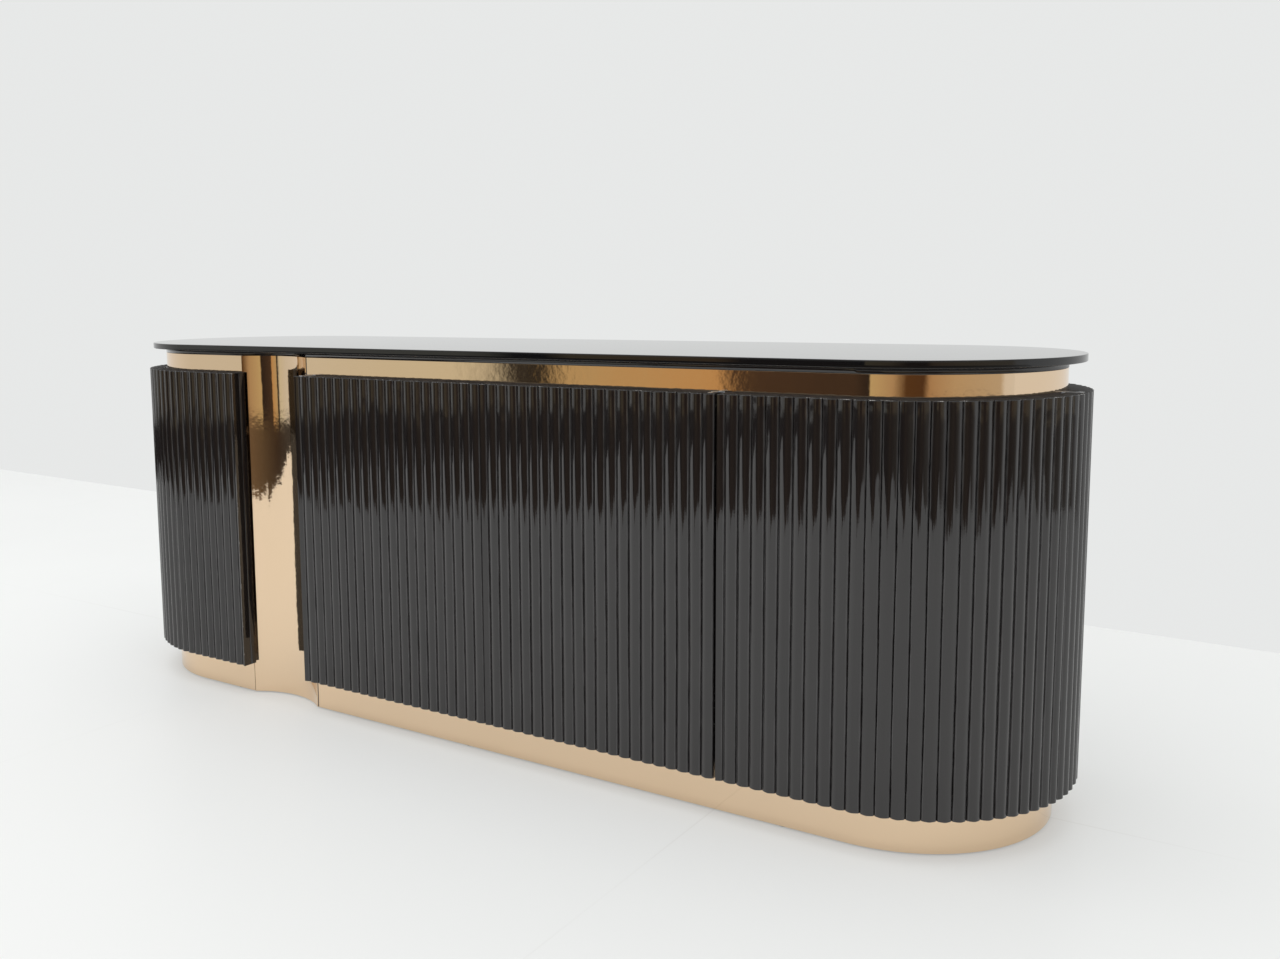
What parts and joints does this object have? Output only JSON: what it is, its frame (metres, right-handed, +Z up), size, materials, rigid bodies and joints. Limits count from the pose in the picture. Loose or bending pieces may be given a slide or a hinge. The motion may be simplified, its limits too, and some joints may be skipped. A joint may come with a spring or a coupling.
{
  "type": "sideboard buffet",
  "caption": "Long low sideboard with rounded ends, vertically fluted gloss black doors, a polished rose-gold plinth, collar and concave column, and a gloss black top.",
  "frame": {"origin": "centre of the plan on the floor, below the middle of the top", "axes": "+X along the front to the right end, -Y out of the front, +Z up"},
  "size_m": [2.0596, 0.5638, 0.75],
  "materials": {
    "black_lacquer": "high-gloss black-brown lacquer on board",
    "rose_gold_steel": "mirror-polished rose-gold coated stainless steel",
    "black_glass": "back-painted black glass with a polished edge",
    "frame_wood": "plain laminated timber",
    "dark_board": "satin dark melamine on board",
    "zinc_steel": "zinc-plated, satin",
    "nylon_black": "moulded, matt",
    "nylon_grey": "moulded, matt",
    "latch_plastic": "moulded, matt",
    "rubber_black": "soft moulded",
    "clear_pad": "clear soft pad"
  },
  "bodies": {
    "cabinet": {"glides": "nylon_black", "plinth_rails": "frame_wood", "plinth_ends": "frame_wood", "plinth_cross_rails": "frame_wood", "plinth_band_left": "rose_gold_steel", "plinth_band_right": "rose_gold_steel", "cove_panel": "rose_gold_steel", "cove_backing": "black_lacquer", "base_board": "black_lacquer", "deck_board": "black_lacquer", "collar_rails": "frame_wood", "collar_ends": "frame_wood", "collar_cross_rails": "frame_wood", "collar_band_left": "rose_gold_steel", "collar_band_right": "rose_gold_steel", "sub_top": "black_lacquer", "top_pads": "clear_pad", "top_slab": "black_glass", "back_panel": "black_lacquer", "partition_cove_left": "dark_board", "partition_cove_right": "dark_board", "partition_middle": "dark_board", "partition_right": "dark_board", "left_rear_panel": "black_lacquer", "left_rear_fluting": "black_lacquer", "right_rear_panel": "black_lacquer", "right_rear_fluting": "black_lacquer", "left_shelf": "dark_board", "middle_left_shelf": "dark_board", "middle_right_shelf": "dark_board", "right_shelf": "dark_board", "shelf_pins": "zinc_steel", "lower_hinge_plates": "zinc_steel", "upper_hinge_plates": "zinc_steel", "hinge_screws": "zinc_steel", "latch_housings": "latch_plastic", "door_bumpers": "rubber_black"},
    "left_door": {"left_door_panel": "black_lacquer", "left_door_fluting": "black_lacquer", "left_door_bushes": "nylon_grey", "left_door_strike": "zinc_steel"},
    "flat_door_a": {"flat_door_a_panel": "black_lacquer", "flat_door_a_fluting": "black_lacquer", "flat_door_a_bushes": "nylon_grey", "flat_door_a_strike": "zinc_steel"},
    "flat_door_b": {"flat_door_b_panel": "black_lacquer", "flat_door_b_fluting": "black_lacquer", "flat_door_b_bushes": "nylon_grey", "flat_door_b_strike": "zinc_steel"},
    "right_door": {"right_door_panel": "black_lacquer", "right_door_fluting": "black_lacquer", "right_door_bushes": "nylon_grey", "right_door_strike": "zinc_steel"},
    "left_latch": {"left_latch_plunger": "zinc_steel"},
    "flat_a_latch": {"flat_a_latch_plunger": "zinc_steel"},
    "flat_b_latch": {"flat_b_latch_plunger": "zinc_steel"},
    "right_latch": {"right_latch_plunger": "zinc_steel"}
  },
  "joints": [
    {"name": "left_door_hinge", "type": "hinge", "parent": "cabinet", "child": "left_door", "pos_m": [-1.01878, -0.0109, 0.38], "axis": [0, 0, -1], "range_deg": [0, 100]},
    {"name": "flat_door_a_hinge", "type": "hinge", "parent": "cabinet", "child": "flat_door_a", "pos_m": [-0.38165, -0.271, 0.38], "axis": [0, 0, -1], "range_deg": [0, 105]},
    {"name": "flat_door_b_hinge", "type": "hinge", "parent": "cabinet", "child": "flat_door_b", "pos_m": [0.52565, -0.271, 0.38], "axis": [0, 0, 1], "range_deg": [0, 100]},
    {"name": "right_door_hinge", "type": "hinge", "parent": "cabinet", "child": "right_door", "pos_m": [1.01878, -0.0109, 0.38], "axis": [0, 0, 1], "range_deg": [0, 100]},
    {"name": "left_latch_push", "type": "slide", "parent": "cabinet", "child": "left_latch", "axis": [0, 1, 0], "range_m": [0, 0.003], "stiffness_N_per_m": 900, "springref_m": -0.003},
    {"name": "flat_a_latch_push", "type": "slide", "parent": "cabinet", "child": "flat_a_latch", "axis": [0, 1, 0], "range_m": [0, 0.003], "stiffness_N_per_m": 900, "springref_m": -0.003},
    {"name": "flat_b_latch_push", "type": "slide", "parent": "cabinet", "child": "flat_b_latch", "axis": [0, 1, 0], "range_m": [0, 0.003], "stiffness_N_per_m": 900, "springref_m": -0.003},
    {"name": "right_latch_push", "type": "slide", "parent": "cabinet", "child": "right_latch", "axis": [0, 1, 0], "range_m": [0, 0.003], "stiffness_N_per_m": 900, "springref_m": -0.003}
  ]
}
